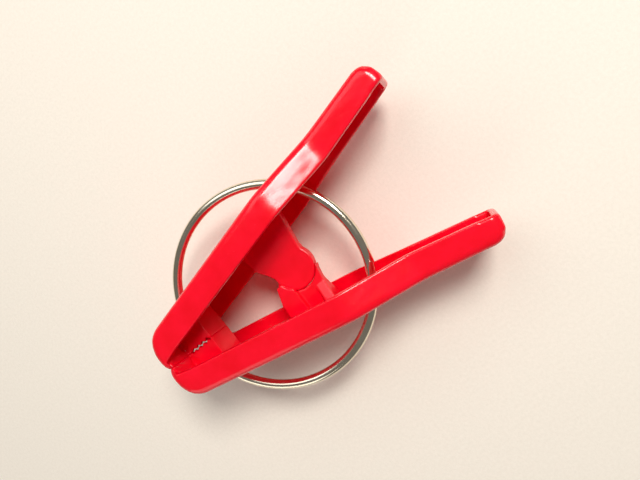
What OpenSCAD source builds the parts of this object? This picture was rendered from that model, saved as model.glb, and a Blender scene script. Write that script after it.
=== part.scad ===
// Clothespin: two moulded channel levers that rock on a boss and socket, held shut by an open ring of spring wire.
// It lies on its side: X runs from the jaws to the thumb ends, Y across the levers, Z along the fulcrum axis.

/* [Overall] */
// Length from the jaw noses to the thumb ends
total_l = 61.6; // [58:0.2:66]
// Width of the jaws and the middle of a lever, which is the height of the part on its side
jaw_w = 21; // [18:0.5:24]
// Width of the thumb ends
thumb_w = 10.4; // [9:0.2:13]

/* [Lever profile] */
// Thickness of the moulded walls
wall = 1.3; // [1:0.1:1.6]
// Depth of the channel from its open rim to its outer back, jaws and middle
jaw_depth = 5.2; // [4.8:0.1:6]
// The same depth at the bend
bend_depth = 5.2; // [4.8:0.1:5.4]
// The same depth at the thumb ends
thumb_depth = 4.6; // [4.2:0.1:5.2]
// Slope of the rim away from the centre plane, jaws and middle
jaw_slope = 11; // [10:0.5:12]
// Slope of the rim at the thumb ends
thumb_slope = 13.3; // [12:0.1:14]
// Distance from the centre plane to the rim line at the noses
rim_start = 1.3; // [1.1:0.1:1.6]
// Where the levers narrow: start of the taper
taper_start = 34; // [33:0.5:36]
// End of the taper, which is also the bend between the two slopes
taper_end = 46; // [44:0.5:48]
// Radius of the jaw nose, seen from the side
nose_r = 5; // [3:0.1:5.1]
// Radius of the thumb end, seen from the side
tip_r = 2.5; // [1:0.1:3]
// Radius of the corners at the thumb ends, seen from the back
end_r = 1.8; // [1:0.1:3]
// Radius of the corners at the noses, seen from the back
nose_corner_r = 1; // [0.6:0.1:2]

/* [Jaws] */
// Length of the toothed jaw plate from the nose
plate_l = 7.7; // [6.5:0.1:8]
// Thickness of the toothed jaw plate
plate_t = 7.2; // [5:0.1:8]
// Number of teeth on each jaw
teeth = 4; // [3:1:5]
// Height of a tooth
tooth_h = 0.5; // [0.3:0.05:0.55]
// Gap between the meshed teeth of the shut jaws
bite_gap = 0.55; // [0.45:0.05:0.6]

/* [Fulcrum] */
// Distance from the noses to the fulcrum axis
pivot_x = 28; // [27.6:0.1:28.4]
// Radius of the round boss on the upper lever
boss_r = 4.1; // [4:0.05:4.2]
// Thickness of the webs that carry the boss and the socket
web_t = 2; // [1.6:0.1:2.4]
// Thickness of the socket over its two cheeks, which straddle the boss
socket_t = 4.8; // [4.2:0.1:6]
// Running clearance of the boss in the socket, on the radius
boss_play = 0.08; // [0.05:0.01:0.1]

/* [Ring spring] */
// Outer diameter of the ring
ring_od = 40; // [39:0.5:41]
// Diameter of the spring wire
wire_d = 1.85; // [1.7:0.05:1.9]
// Distance from the noses to the centre of the ring
ring_x = 22; // [21.5:0.1:22.5]
// Clearance of the wire in its seats, on the radius
seat_play = 0.1; // [0.05:0.01:0.1]
// Length of the slot in the back of each lever
slot_l = 7.4; // [7:0.1:8]
// Width of the slot
slot_w = 2.8; // [2.4:0.1:3.2]

/* [Hidden] */
$fn = 48;

red = [0.86, 0.02, 0.08];
steel = [0.72, 0.68, 0.60];

mid_z = jaw_w / 2;
// Half of the gap between the shut jaws beside their teeth
seam = 0.05;
// Place and height of the lowest point of the rim, at the very nose
lip_x = 0.6;
lip_y = 0.12;
// Distance from each side to the wall that closes the nose
lip_inset = 1;
// Where the teeth start, and the length of the plain edge behind them
bite_x = 2.5;
bite_rest = 0.35;
// Height of the joint between the nose wall and the jaw plate
nose_y = 3.4;
// Overlap of shapes that are joined
lap = 0.1;
// Radius of the bends in the back outline where it narrows
bend_r = 5;
ring_r = (ring_od - wire_d) / 2;
// Height of the wire's end above the centre plane, inside the jaw plate, and its angle round the ring
seat_end_y = 4.4;
seat_angle = 180 - asin(seat_end_y / ring_r);
// Where the bore for the wire starts, and how far it runs past the wire's end
seat_from = 140;
seat_spare = 1.5;
// Middle of the slot in the back, from the noses
slot_x = ring_x + 13.2;
// Height of the slot's cut above the rim, which spares the web
slot_rise = 3;
// The cheeks overlap the boss by this much, with a side clearance in their groove
cheek_lap = 0.6;
cheek_play = 0.15;
// Where the cheeks end, towards the thumb side, and their width
cheek_x = -2;
cheek_w = 4.5;
// Levels of the two horns of the socket, on the jaw side and the thumb side
jaw_horn_y = 0.5;
thumb_horn_y = 1.9;
// Concave fillets inside the thumb ends: radius and start
trough_r = 3;
trough_x = 53;
// Larger than any lever
far = 40;

// Height of the rim line above the centre plane at a distance x from the noses
function rim_y(x) = x < taper_end
    ? rim_start + x * tan(jaw_slope)
    : rim_start + taper_end * tan(jaw_slope) + (x - taper_end) * tan(thumb_slope);
function unit(v) = v / norm(v);
function left_of(v) = [-v[1], v[0]];
function step(p, angle, length) = p + length * [cos(angle), sin(angle)];

// Arc of radius r that rounds the corner b between its neighbours a and c
function corner(a, b, c, r, steps = 8) =
    let (
        u = unit(a - b), v = unit(c - b),
        half = acos(u * v) / 2,
        centre = b + unit(u + v) * r / sin(half),
        from = b + u * r / tan(half) - centre,
        turn = (180 - 2 * half) * (cross(u, v) > 0 ? -1 : 1)
    )
    [for (i = [0:steps]) let (t = turn * i / steps)
        centre + from * cos(t) + left_of(from) * sin(t)];

// Outline whose corners are [point, radius] pairs; a radius of 0 keeps the corner sharp
function rounded(corners) = let (n = len(corners)) [
    for (i = [0:n - 1])
        let (a = corners[(i + n - 1) % n][0], b = corners[i][0], c = corners[(i + 1) % n][0], r = corners[i][1])
        each (r == 0 ? [b] : corner(a, b, c, r))
];

// Points that lie a given depth behind the rim
function behind_jaw(x, depth) = [x, rim_y(x) + depth / cos(jaw_slope)];
tip_rim = [total_l, rim_y(total_l)];
tip_back = step(tip_rim, thumb_slope + 90, thumb_depth);
bend_back = step([taper_end, rim_y(taper_end)], thumb_slope + 90, bend_depth);

// Side outline of a whole lever
module side_outline() {
    polygon(rounded([
        [[lip_x, lip_y], 0.15],
        [[1.8, 1.4], 2],
        [[4.7, rim_y(4.7)], 4],
        [[taper_end, rim_y(taper_end)], 20],
        [tip_rim, 0.6],
        [tip_back, tip_r],
        [bend_back, 12],
        [behind_jaw(taper_start, jaw_depth), 20],
        [behind_jaw(0, jaw_depth), nose_r],
        [[0, 1.2], 3]
    ]));
}

// Side outline of the hollow, which runs out through the rim
module hollow_outline() {
    polygon(rounded([
        [[wall, -far], 0],
        [[total_l - wall, -far], 0],
        [tip_rim + [-wall, 0], 0],
        [tip_back + [-wall, -wall], tip_r - wall],
        [bend_back - [0, wall], 12],
        [behind_jaw(taper_start, jaw_depth - wall), 20],
        [behind_jaw(wall, jaw_depth - wall), nose_r - wall]
    ]));
}

// Outline of a lever seen from its back, with its sides moved in by inset
module back_outline(inset) {
    jaw = jaw_w / 2 - inset;
    thumb = thumb_w / 2 - inset;
    nose_radius = max(nose_corner_r - inset, 0.4);
    thumb_radius = max(end_r - inset, 0.4);
    polygon(rounded([
        [[inset, -jaw], nose_radius], [[taper_start, -jaw], bend_r],
        [[taper_end, -thumb], bend_r], [[total_l - inset, -thumb], thumb_radius],
        [[total_l - inset, thumb], thumb_radius], [[taper_end, thumb], bend_r],
        [[taper_start, jaw], bend_r], [[inset, jaw], nose_radius]
    ]));
}

// Extrudes a back outline along Y through the whole lever
module along_y() {
    translate([0, far, mid_z]) rotate([90, 0, 0]) linear_extrude(2 * far) children();
}

// Extrudes a side outline along Z, centred on the middle plane
module about_middle(thickness) {
    translate([0, 0, mid_z - thickness / 2]) linear_extrude(thickness) children();
}

module channel() {
    difference() {
        intersection() {
            linear_extrude(jaw_w) side_outline();
            along_y() back_outline(0);
        }
        intersection() {
            translate([0, 0, wall]) linear_extrude(jaw_w - 2 * wall) hollow_outline();
            along_y() back_outline(wall);
        }
    }
}

// Concave fillet along one side of the floor of a thumb end; side is 1 above the middle plane, -1 below
module trough(side) {
    length = total_l - wall - trough_x;
    below_back = wall - lap;
    wall_z = side * (thumb_w / 2 - wall + lap);
    translate([bend_back[0], bend_back[1], mid_z]) rotate([0, 0, thumb_slope])
        translate([trough_x - taper_end, -below_back, wall_z])
            intersection() {
                difference() {
                    translate([0, -trough_r, side > 0 ? -trough_r : 0]) cube([length, trough_r, trough_r]);
                    translate([-1, -trough_r, -side * trough_r]) rotate([0, 90, 0])
                        cylinder(r = trough_r, h = far);
                }
                rotate([0, 0, -thumb_slope]) translate([0, -far / 2, -far / 2]) cube(far);
            }
}

// Toothed edge of the jaw plate, with its first tooth up or down
function bite(first) = let (pitch = (plate_l - bite_rest - bite_x) / (2 * teeth)) [
    for (i = [0:2 * teeth]) [
        bite_x + i * pitch,
        bite_gap / 2 + (i % 2 == 0 ? -first : first) * tooth_h / 2
    ]
];

// Toothed plate on the middle plane, and the wall that closes the nose
module jaw_plate(first) {
    inside_back = jaw_depth - wall / 2;
    nose_side = [wall / 2, nose_y];
    inner_x = wall + 3 * lap;
    about_middle(plate_t) polygon(concat(
        [[wall, seam], [bite_x - lap, seam]], bite(first), [[plate_l - bite_rest + lap, seam], [plate_l, seam]],
        [behind_jaw(plate_l, inside_back), behind_jaw(nose_y, inside_back), nose_side]
    ));
    about_middle(jaw_w - 2 * lip_inset)
        polygon([[lip_x + lap, seam], [inner_x, seam], [inner_x, nose_y], nose_side, [lap, nose_y - 1]]);
}

// Wire of radius r along the ring between two angles, counted from the thumb side
module ring_arc(r, from, to) {
    translate([ring_x, 0, mid_z]) rotate([0, 0, from])
        rotate_extrude(angle = to - from) translate([ring_r, 0]) circle(r, $fn = 24);
}

// Cuts for the wire: the slot in the back near the fulcrum, and the curved seat in the jaw plate
module wire_cuts() {
    about_middle(slot_w)
        translate([slot_x - slot_l / 2, rim_y(slot_x) + slot_rise]) square([slot_l, 2 * jaw_depth]);
    ring_arc(wire_d / 2 + seat_play, seat_from, seat_angle + seat_spare);
}

// Web of the upper lever, which ends in the round boss
module boss_web() {
    root = jaw_depth - wall / 2;
    about_middle(web_t) {
        translate([pivot_x, 0]) circle(boss_r);
        polygon(rounded([
            [[pivot_x - boss_r + lap, 2 * lap], 0], [[pivot_x - 4.5, 1.4], 2], [[pivot_x - 6.3, 4], 1],
            [behind_jaw(pivot_x - 6.6, root), 0], [behind_jaw(pivot_x + 5.2, root), 0],
            [[pivot_x + 4.5, 8], 2], [[pivot_x + 3.6, 3.2], 3], [[pivot_x + 3.6, 1.8], 0]
        ]));
    }
}

// Outline of the socket, whose two horns clasp the lower half of the boss
module socket_outline() {
    root = jaw_depth - wall / 2;
    polygon([
        [pivot_x - boss_r - 0.15, jaw_horn_y], [pivot_x - 5.7, 4.3],
        behind_jaw(pivot_x - 6, root), behind_jaw(pivot_x + 3, root),
        [pivot_x + 3.2, 4.5], [pivot_x + 3.5, 3.1], [pivot_x + boss_r - 0.15, thumb_horn_y]
    ]);
}

// Web of the lower lever with the socket, its cheeks on the jaw side and a buttress on the thumb side
module socket_web() {
    buttress_x = 1.2;
    buttress_y = 5;
    buttress_top = buttress_y + 6;
    buttress_t = 2;
    difference() {
        union() {
            about_middle(web_t) socket_outline();
            about_middle(socket_t) intersection() {
                socket_outline();
                translate([pivot_x + cheek_x - cheek_w, 2 * jaw_horn_y]) square([cheek_w, far]);
            }
            translate([pivot_x + buttress_x, 0, mid_z]) rotate([90, 0, 90]) linear_extrude(buttress_t)
                polygon([
                    [buttress_y, -web_t / 2], [buttress_top, -web_t / 2 - buttress_t],
                    [buttress_top, web_t / 2 + buttress_t], [buttress_y, web_t / 2]
                ]);
        }
        about_middle(web_t + 2 * cheek_play) translate([pivot_x, 0]) circle(boss_r + boss_play);
        about_middle(far) translate([pivot_x, 0]) circle(boss_r - cheek_lap);
    }
}

module place() {
    translate([-total_l / 2, 0, 0]) children();
}

module upper_lever() {
    color(red) place() difference() {
        union() {
            channel();
            trough(1);
            trough(-1);
            jaw_plate(1);
            boss_web();
        }
        wire_cuts();
    }
}

module lower_lever() {
    color(red) place() mirror([0, 1, 0]) difference() {
        union() {
            channel();
            trough(1);
            trough(-1);
            jaw_plate(-1);
            socket_web();
        }
        wire_cuts();
    }
}

module ring_spring() {
    color(steel) place() ring_arc(wire_d / 2, -seat_angle, seat_angle);
}

upper_lever();
lower_lever();
ring_spring();
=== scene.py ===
import math

import bmesh
import bpy
import numpy as np
from mathutils import Matrix, Vector
from mathutils.bvhtree import BVHTree


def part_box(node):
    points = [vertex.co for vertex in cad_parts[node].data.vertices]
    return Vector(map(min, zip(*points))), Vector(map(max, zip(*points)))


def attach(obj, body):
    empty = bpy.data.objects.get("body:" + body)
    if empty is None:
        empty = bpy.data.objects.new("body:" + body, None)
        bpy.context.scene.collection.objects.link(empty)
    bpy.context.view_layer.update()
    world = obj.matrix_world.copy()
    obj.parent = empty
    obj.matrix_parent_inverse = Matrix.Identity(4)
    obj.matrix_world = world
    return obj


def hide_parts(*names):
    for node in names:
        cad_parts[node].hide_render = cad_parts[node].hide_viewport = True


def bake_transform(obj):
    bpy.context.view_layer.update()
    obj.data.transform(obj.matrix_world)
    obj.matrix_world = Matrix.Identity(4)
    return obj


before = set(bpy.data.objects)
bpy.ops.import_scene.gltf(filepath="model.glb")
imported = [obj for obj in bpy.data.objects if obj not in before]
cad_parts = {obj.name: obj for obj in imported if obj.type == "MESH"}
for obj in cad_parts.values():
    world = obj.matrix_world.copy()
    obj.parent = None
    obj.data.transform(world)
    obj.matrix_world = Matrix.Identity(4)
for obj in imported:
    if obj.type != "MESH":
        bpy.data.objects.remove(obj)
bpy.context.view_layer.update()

# Lengths are in metres.
MM = 0.001
LEVERS = ("upper_lever", "lower_lever")

# The camera looks down on the part from beyond the fulcrum; the thumb ends point up in the picture.
CAMERA_AT = Vector((30.3, -1.9, 99.2)) * MM
CAMERA_LOOKS_AT = Vector((4.3, 0.8, 10.5)) * MM
PICTURE_UP = math.radians(49.0)
LENS = 29.1
SENSOR_WIDTH = 36.0
CLIP_NEAR = 5 * MM
CLIP_FAR = 5.0

# Moulded levers: size of the even mesh
VOXEL = 0.15 * MM
MOST_FACES = 190000
WELD = 1e-7

# Outer faces of a lever, told by their normals and by how far they reach from mid height
OUTSIDE_STEP = 1e-5
BACK_TILT = 0.3
BACK_REACH_Z = 4.0 * MM
SIDE_TILT = 0.5
MOST_ALIGNED = 0.5

# Rounded edge of the back, which gets smaller towards the plane where the jaws meet
BACK_EDGE_R = 1.4 * MM
FULL_ROUND_Y = 1.8 * MM
LEAST_ROUND = 0.2

# Smoothing of small edges: more at the thumb tip, none at the bite
SOFTEN_STEPS = 5
TIP_STEPS = 30
TIP_REACH = 3.4 * MM
CRISP_Y = 1.0 * MM
CRISP_X = 9 * MM

# Bite: reach of the teeth from the nose and from mid height, and the seam of the shut jaws
BITE_TO = 7.3 * MM
BITE_LOW = -5.6 * MM
BITE_HIGH = 2.7 * MM
BITE_RELIEF = 0.4 * MM
SEAM_BAND = 0.065 * MM
SEAM = 0.004 * MM

# Nose, rounded towards both sides
NOSE_R = 1.8 * MM
NOSE_STEP = 0.25 * MM
NOSE_REACH = 4 * MM

# Width profile: its bends are eased by a bell-shaped weight, cut off at so many of its widths
PROFILE_MARGIN = 5 * MM
PROFILE_STEP = 0.2 * MM
PROFILE_EASE = 1.0 * MM
PROFILE_EASES = 3

# Ejector marks and gate, at these shares of the length
MARK_R = 1.3 * MM
MARK_DEPTH = 0.12 * MM
MARK_PLACES = (0.21, 0.66, 0.9)
GATE_R = 0.7 * MM
GATE_HEIGHT = 0.15 * MM
GATE_PLACE = 0.3
FLAT_FACING = 0.9
CHANNEL_FLOOR_Y = 5 * MM

# Ring of spring wire, measured from its CAD node
RING_LOW, RING_HIGH = (Vector(corner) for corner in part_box("ring_spring"))
WIRE_R = (RING_HIGH.z - RING_LOW.z) / 2
RING_R = (RING_HIGH.y - RING_LOW.y) / 2 - WIRE_R
RING_CENTRE = Vector((RING_HIGH.x - WIRE_R - RING_R, 0.0, (RING_HIGH.z + RING_LOW.z) / 2))
RING_END_Y = 4.4 * MM
RING_STATIONS = 150
RING_SIDES = 20
# Rounded wire tip: its length and how much it narrows, as a share of the wire's radius
TIP_ROUND = 0.6
TIP_LOOPS = 6
RING_SHARP = math.radians(50)

# Colours: each material wanders between two
RED_DEEP, RED_BRIGHT = (0.84, 0.0, 0.012), (0.94, 0.002, 0.022)
WIRE_DEEP, WIRE_BRIGHT = (0.78, 0.70, 0.54), (0.86, 0.79, 0.64)
CARD_DEEP, CARD_BRIGHT = (0.84, 0.79, 0.70), (0.90, 0.85, 0.76)

# Set
FLOOR_HALF = 1.2
WINDOW_COLOUR = (1.0, 0.95, 0.9)
FILL_COLOUR = (1.0, 0.93, 0.86)
SKY_COLOUR = (1.0, 0.96, 0.92, 1.0)
SKY_STRENGTH = 0.17


def collection_add(obj):
    bpy.context.scene.collection.objects.link(obj)
    return obj


# ---------------------------------------------------------------- levers


def outer_trees(mesh, bvh, middle_z, side):
    """Trees of a lever's outer back faces and outer side faces, for measuring how near an edge is."""
    corners = [vertex.co.copy() for vertex in mesh.vertices]
    back, sides = [], []
    for face in mesh.polygons:
        normal, centre = face.normal, face.center
        outside = bvh.ray_cast(centre + normal * OUTSIDE_STEP, normal)[0] is None
        if not outside:
            continue
        if abs(normal.z) < BACK_TILT and normal.y * side > -BACK_TILT:
            zs = [corners[i].z for i in face.vertices]
            if max(abs(z - middle_z) for z in zs) > BACK_REACH_Z:
                back.append(tuple(face.vertices))
        elif normal.z * (centre.z - middle_z) > 0 and abs(normal.z) > SIDE_TILT:
            sides.append(tuple(face.vertices))
    return BVHTree.FromPolygons(corners, back), BVHTree.FromPolygons(corners, sides)


def rounded_corner(point, back, sides, radius):
    """Moves a point of a square outer edge onto the round of that radius."""
    _, back_normal, _, back_gap = back.find_nearest(point, radius)
    if back_normal is None:
        return point
    _, side_normal, _, side_gap = sides.find_nearest(point, radius)
    if side_normal is None or abs(side_normal.dot(back_normal)) > MOST_ALIGNED:
        return point
    reach = Vector((radius - back_gap, radius - side_gap))
    if reach.length <= radius:
        return point
    moved = reach * (radius / reach.length)
    return point - back_normal * (reach.x - moved.x) - side_normal * (reach.y - moved.y)


def remeshed(source, name):
    """An even, fine voxel copy of a CAD node's mesh, whose points lie near the CAD surface."""
    mesh = source.data.copy()
    mesh.transform(source.matrix_world)
    work = bmesh.new()
    work.from_mesh(mesh)
    bmesh.ops.remove_doubles(work, verts=work.verts, dist=WELD)
    work.to_mesh(mesh)
    work.free()
    corners = [vertex.co for vertex in mesh.vertices]
    bvh = BVHTree.FromPolygons(corners, [tuple(face.vertices) for face in mesh.polygons])
    piece = collection_add(bpy.data.objects.new(name, mesh.copy()))
    modifier = piece.modifiers.new("even", "REMESH")
    modifier.mode = "VOXEL"
    modifier.voxel_size = VOXEL
    even = bpy.data.meshes.new_from_object(piece.evaluated_get(bpy.context.evaluated_depsgraph_get()))
    piece.modifiers.clear()
    piece.data = even
    even.name = name
    return piece, mesh, bvh


def points_of(mesh):
    flat = np.empty(len(mesh.vertices) * 3)
    mesh.vertices.foreach_get("co", flat)
    return flat.reshape(-1, 3)


def softened(piece, steps, where):
    """Rounds the small edges of a mesh by smoothing its points, where a test of the points says so."""
    mesh = piece.data
    points = points_of(mesh)
    free = where(points)
    ends = np.empty(len(mesh.edges) * 2, dtype=np.int64)
    mesh.edges.foreach_get("vertices", ends)
    a, b = ends.reshape(-1, 2).T
    count = np.bincount(ends, minlength=len(points))
    for _ in range(steps):
        total = np.stack([
            np.bincount(a, points[b, k], len(points)) + np.bincount(b, points[a, k], len(points))
            for k in range(3)
        ], axis=1)
        mean = total / count[:, None]
        points = np.where(free[:, None], 0.5 * (points + mean), points)
    mesh.vertices.foreach_set("co", points.ravel())
    mesh.update()


def eased_width(piece, middle_z, low_x, high_x):
    """Eases the bends where the lever narrows, by scaling its height in Z to a smoothed profile along X."""
    points = points_of(piece.data)
    half = np.abs(points[:, 2] - middle_z)
    inside = (points[:, 0] > low_x + PROFILE_MARGIN) & (points[:, 0] < high_x - PROFILE_MARGIN)
    order = np.flatnonzero(inside)
    order = order[np.argsort(half[order])]
    widest = np.zeros(int((high_x - low_x) / PROFILE_STEP) + 1, dtype=int) - 1
    widest[((points[order, 0] - low_x) / PROFILE_STEP).astype(int)] = order
    widest = widest[widest >= 0]
    stations, heights = points[widest, 0], half[widest]
    grid = np.arange(low_x, high_x, PROFILE_STEP)
    profile = np.interp(grid, stations, heights)
    reach = int(PROFILE_EASES * PROFILE_EASE / PROFILE_STEP)
    weights = np.exp(-0.5 * (np.arange(-reach, reach + 1) * PROFILE_STEP / PROFILE_EASE) ** 2)
    eased = np.convolve(np.pad(profile, reach, mode="edge"), weights / weights.sum(), "valid")
    factor = np.interp(points[:, 0], grid, eased) / np.interp(points[:, 0], stations, heights)
    from_ends = np.minimum(points[:, 0] - low_x, high_x - points[:, 0]) - PROFILE_MARGIN
    factor = 1 + (factor - 1) * np.clip(from_ends / PROFILE_MARGIN, 0, 1)
    points[:, 2] = middle_z + (points[:, 2] - middle_z) * factor
    piece.data.vertices.foreach_set("co", points.ravel())
    piece.data.update()


def thinned(piece):
    """Collapses the flats of a mesh until it has no more faces than a piece may have."""
    triangles = sum(len(face.vertices) - 2 for face in piece.data.polygons)
    if triangles <= MOST_FACES:
        return
    modifier = piece.modifiers.new("thin", "DECIMATE")
    modifier.ratio = MOST_FACES / triangles
    thin = bpy.data.meshes.new_from_object(piece.evaluated_get(bpy.context.evaluated_depsgraph_get()))
    piece.modifiers.clear()
    thin.name = piece.name
    piece.data = thin


def fit_bite(piece, nose_x, middle_z, side):
    """Shuts the plain edges of the jaws, and sinks their middle, so that light passes between the teeth."""
    for vertex in piece.data.vertices:
        x, y, z = vertex.co
        if x - nose_x > CRISP_X or abs(y) > CRISP_Y:
            continue
        if x - nose_x < BITE_TO and BITE_LOW < z - middle_z < BITE_HIGH:
            vertex.co.y += side * BITE_RELIEF * (1 - abs(y) / CRISP_Y)
        elif abs(y) < SEAM_BAND:
            vertex.co.y = side * SEAM


def round_nose(piece, nose_x, middle_z, half_width):
    """Rounds the nose towards both sides, by moving it back from its outline in the middle."""
    points = points_of(piece.data)
    near = points[:, 0] < nose_x + NOSE_REACH
    bins = (np.abs(points[:, 1]) / NOSE_STEP).astype(int)
    outline = np.full(bins.max() + 2, nose_x + NOSE_REACH)
    np.minimum.at(outline, bins[near], points[near, 0])
    front = np.interp(np.abs(points[:, 1]), (np.arange(len(outline)) + 0.5) * NOSE_STEP, outline)
    beyond = np.clip(np.abs(points[:, 2] - middle_z) - (half_width - NOSE_R), 0, NOSE_R)
    least = front + NOSE_R - np.sqrt(NOSE_R ** 2 - beyond ** 2)
    points[near, 0] = np.maximum(points[near, 0], least[near])
    piece.data.vertices.foreach_set("co", points.ravel())
    piece.data.update()


def press_marks(piece, low, high, side):
    """Ejector pin marks on the channel floor, and the gate's stub on the outer back."""
    middle_z = (low.z + high.z) / 2
    length = high.x - low.x
    marks = [low.x + place * length for place in MARK_PLACES]
    gate_x = low.x + GATE_PLACE * length
    for vertex in piece.data.vertices:
        x, y, z = vertex.co
        facing = vertex.normal.y * side
        if facing < -FLAT_FACING:
            for mark_x in marks:
                if math.hypot(x - mark_x, z - middle_z) < MARK_R and y * side > CHANNEL_FLOOR_Y:
                    vertex.co.y += side * MARK_DEPTH
        elif facing > FLAT_FACING and math.hypot(x - gate_x, z - middle_z) < GATE_R:
            vertex.co.y += side * GATE_HEIGHT


def make_lever(name):
    """A lever's finished mesh: the CAD shape with rounded edges, a fitted bite and eased bends."""
    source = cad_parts[name]
    low, high = (Vector(corner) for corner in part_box(name))
    middle_z = (low.z + high.z) / 2
    side = 1 if name == "upper_lever" else -1
    piece, cad_mesh, bvh = remeshed(source, name + "_moulding")
    back, sides = outer_trees(cad_mesh, bvh, middle_z, side)
    for vertex in piece.data.vertices:
        on_cad = bvh.find_nearest(vertex.co)[0]
        radius = BACK_EDGE_R * min(1.0, max(LEAST_ROUND, abs(on_cad.y) / FULL_ROUND_Y))
        vertex.co = rounded_corner(on_cad, back, sides, radius)
    press_marks(piece, low, high, side)
    fit_bite(piece, low.x, middle_z, side)
    round_nose(piece, low.x, middle_z, middle_z - low.z)
    softened(piece, SOFTEN_STEPS, lambda at: (abs(at[:, 1]) > CRISP_Y) | (at[:, 0] > low.x + CRISP_X))
    softened(piece, TIP_STEPS, lambda at: at[:, 0] > high.x - TIP_REACH)
    eased_width(piece, middle_z, low.x, high.x)
    thinned(piece)
    piece.data.shade_smooth()
    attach(piece, name)
    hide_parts(name)
    return piece


# ---------------------------------------------------------------- ring


def half_ring(name, side):
    """One half of the ring: a round wire from the far side of the fulcrum to its seat in a jaw."""
    end_angle = math.pi - math.asin(RING_END_Y / RING_R)
    work = bmesh.new()
    loops = []
    stations = [(end_angle * i / RING_STATIONS, 1.0) for i in range(RING_STATIONS)]
    tip = WIRE_R * TIP_ROUND / RING_R
    for step in range(TIP_LOOPS):
        turn = math.pi / 2 * step / (TIP_LOOPS - 1)
        width = 1 - TIP_ROUND + TIP_ROUND * math.cos(turn)
        stations.append((end_angle - tip + tip * math.sin(turn), width))
    for angle, width in stations:
        outward = Vector((math.cos(angle), side * math.sin(angle), 0.0))
        centre = RING_CENTRE + outward * RING_R
        loop = []
        for k in range(RING_SIDES):
            around = 2 * math.pi * k / RING_SIDES
            offset = outward * math.cos(around) + Vector((0, 0, 1)) * math.sin(around)
            loop.append(work.verts.new(centre + offset * WIRE_R * width))
        loops.append(loop)
    for a, b in zip(loops, loops[1:]):
        for k in range(RING_SIDES):
            n = (k + 1) % RING_SIDES
            work.faces.new((a[k], a[n], b[n], b[k]))
    work.faces.new(loops[0])
    work.faces.new(loops[-1])
    bmesh.ops.recalc_face_normals(work, faces=work.faces)
    mesh = bpy.data.meshes.new(name)
    work.to_mesh(mesh)
    work.free()
    mesh.shade_smooth()
    mesh.set_sharp_from_angle(angle=RING_SHARP)
    piece = collection_add(bpy.data.objects.new(name, mesh))
    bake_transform(piece)
    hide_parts("ring_spring")
    return piece


# ---------------------------------------------------------------- materials


class Nodes:
    """Short calls for building one node material."""

    def __init__(self, name):
        self.material = bpy.data.materials.new(name)
        self.material.use_nodes = True
        self.tree = self.material.node_tree
        self.shader = self.tree.nodes["Principled BSDF"]
        self.place = self.add("ShaderNodeTexCoord").outputs["Object"]

    def add(self, kind):
        return self.tree.nodes.new(kind)

    def link(self, source, target):
        self.tree.links.new(source, target)

    def stretched(self, scale):
        node = self.add("ShaderNodeMapping")
        node.inputs["Scale"].default_value = scale
        self.link(self.place, node.inputs["Vector"])
        return node.outputs["Vector"]

    def noise(self, place, scale, detail=3.0, roughness=0.5):
        node = self.add("ShaderNodeTexNoise")
        node.inputs["Scale"].default_value = scale
        node.inputs["Detail"].default_value = detail
        node.inputs["Roughness"].default_value = roughness
        self.link(place, node.inputs["Vector"])
        return node.outputs["Fac"]

    def ramp(self, source, low, high, low_value, high_value):
        node = self.add("ShaderNodeMapRange")
        node.inputs["From Min"].default_value = low
        node.inputs["From Max"].default_value = high
        node.inputs["To Min"].default_value = low_value
        node.inputs["To Max"].default_value = high_value
        self.link(source, node.inputs["Value"])
        return node.outputs["Result"]

    def colours(self, source, stops):
        """A colour between two stops, each a position and a colour."""
        node = self.add("ShaderNodeValToRGB")
        for element, (position, colour) in zip(node.color_ramp.elements, stops):
            element.position = position
            element.color = (*colour, 1.0)
        self.link(source, node.inputs["Fac"])
        return node.outputs["Color"]

    def bump(self, height, strength, distance, below=None):
        node = self.add("ShaderNodeBump")
        node.inputs["Strength"].default_value = strength
        node.inputs["Distance"].default_value = distance
        self.link(height, node.inputs["Height"])
        if below is not None:
            self.link(below, node.inputs["Normal"])
        return node.outputs["Normal"]


def red_plastic():
    m = Nodes("red_moulded_plastic")
    shader = m.shader
    flow = m.noise(m.stretched((1.0, 1.6, 1.6)), scale=120.0, detail=2.0)
    cloud = m.noise(m.place, scale=260.0, detail=4.0)
    grain = m.noise(m.place, scale=5200.0, detail=2.0)
    scuffs = m.noise(m.stretched((1.0, 9.0, 9.0)), scale=900.0, detail=5.0, roughness=0.65)
    gloss = m.ramp(scuffs, low=0.4, high=0.75, low_value=0.15, high_value=0.3)
    m.link(m.colours(cloud, [(0.3, RED_DEEP), (0.7, RED_BRIGHT)]), shader.inputs["Base Color"])
    m.link(gloss, shader.inputs["Roughness"])
    shader.inputs["IOR"].default_value = 1.5
    shader.inputs["Subsurface Weight"].default_value = 0.12
    shader.inputs["Subsurface Radius"].default_value = (1.0, 0.12, 0.1)
    shader.inputs["Subsurface Scale"].default_value = 0.8 * MM
    waves = m.bump(flow, strength=0.7, distance=0.3 * MM)
    m.link(m.bump(grain, strength=0.08, distance=0.01 * MM, below=waves), shader.inputs["Normal"])
    return m.material


def spring_steel():
    m = Nodes("drawn_spring_steel")
    shader = m.shader
    tint = m.noise(m.place, scale=180.0, detail=3.0)
    draw_marks = m.noise(m.stretched((1.0, 1.0, 14.0)), scale=2600.0, detail=3.0, roughness=0.6)
    gloss = m.ramp(draw_marks, low=0.35, high=0.7, low_value=0.1, high_value=0.24)
    m.link(m.colours(tint, [(0.35, WIRE_DEEP), (0.65, WIRE_BRIGHT)]), shader.inputs["Base Color"])
    m.link(gloss, shader.inputs["Roughness"])
    shader.inputs["Metallic"].default_value = 1.0
    m.link(m.bump(draw_marks, strength=0.12, distance=0.03 * MM), shader.inputs["Normal"])
    return m.material


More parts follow.
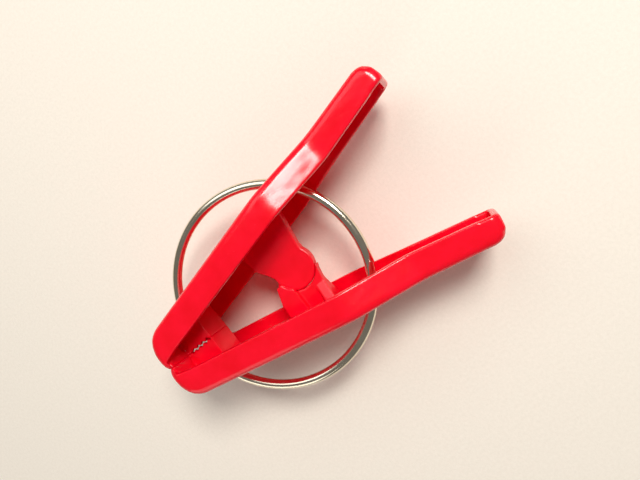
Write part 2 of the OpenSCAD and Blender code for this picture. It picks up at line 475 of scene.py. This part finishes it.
def floor_card():
    m = Nodes("pale_card")
    fibres = m.noise(m.place, scale=1500.0, detail=6.0, roughness=0.7)
    m.link(m.colours(fibres, [(0.3, CARD_DEEP), (0.7, CARD_BRIGHT)]), m.shader.inputs["Base Color"])
    m.shader.inputs["Roughness"].default_value = 0.85
    m.link(m.bump(fibres, strength=0.25, distance=0.15 * MM), m.shader.inputs["Normal"])
    return m.material


# ---------------------------------------------------------------- set


def make_camera():
    data = bpy.data.cameras.new("camera")
    data.lens = LENS
    data.sensor_width = SENSOR_WIDTH
    data.clip_start = CLIP_NEAR
    data.clip_end = CLIP_FAR
    ahead = (CAMERA_LOOKS_AT - CAMERA_AT).normalized()
    right = ahead.cross(Vector((math.cos(PICTURE_UP), math.sin(PICTURE_UP), 0.0))).normalized()
    axes = Matrix((right, right.cross(ahead), -ahead)).transposed().to_4x4()
    camera = collection_add(bpy.data.objects.new("camera", data))
    camera.matrix_world = Matrix.Translation(CAMERA_AT) @ axes
    bpy.context.scene.camera = camera


def make_floor():
    mesh = bpy.data.meshes.new("floor")
    corners = [(x * FLOOR_HALF, y * FLOOR_HALF, 0) for x, y in ((-1, -1), (1, -1), (1, 1), (-1, 1))]
    mesh.from_pydata(corners, [], [(0, 1, 2, 3)])
    mesh.materials.append(floor_card())
    collection_add(bpy.data.objects.new("floor", mesh))


def soft_light(name, heading, height, distance, size, power, colour=(1.0, 1.0, 1.0)):
    """A square soft box that faces the part from a compass heading and a height angle, in degrees."""
    heading, height = math.radians(heading), math.radians(height)
    level = math.cos(height)
    away = Vector((math.cos(heading) * level, math.sin(heading) * level, math.sin(height)))
    data = bpy.data.lights.new(name, "AREA")
    data.size = size
    data.energy = power
    data.color = colour
    light = collection_add(bpy.data.objects.new(name, data))
    turn = away.to_track_quat("Z", "Y").to_matrix().to_4x4()
    light.matrix_world = Matrix.Translation(away * distance) @ turn


def make_light():
    soft_light("window", heading=31, height=53, distance=0.5, size=0.16, power=2.2, colour=WINDOW_COLOUR)
    soft_light("key", heading=95, height=52, distance=0.7, size=0.5, power=1.3)
    soft_light("fill", heading=215, height=28, distance=0.8, size=0.5, power=1.1, colour=FILL_COLOUR)
    world = bpy.data.worlds.new("studio")
    world.use_nodes = True
    background = world.node_tree.nodes["Background"]
    background.inputs["Color"].default_value = SKY_COLOUR
    background.inputs["Strength"].default_value = SKY_STRENGTH
    bpy.context.scene.world = world
    bpy.context.scene.view_settings.view_transform = "Standard"


make_camera()
make_floor()
make_light()
plastic = red_plastic()
steel = spring_steel()
for lever_name in LEVERS:
    lever_piece = make_lever(lever_name)
    lever_piece.data.materials.clear()
    lever_piece.data.materials.append(plastic)
half_ring("ring_upper_half", 1).data.materials.append(steel)
half_ring("ring_lower_half", -1).data.materials.append(steel)
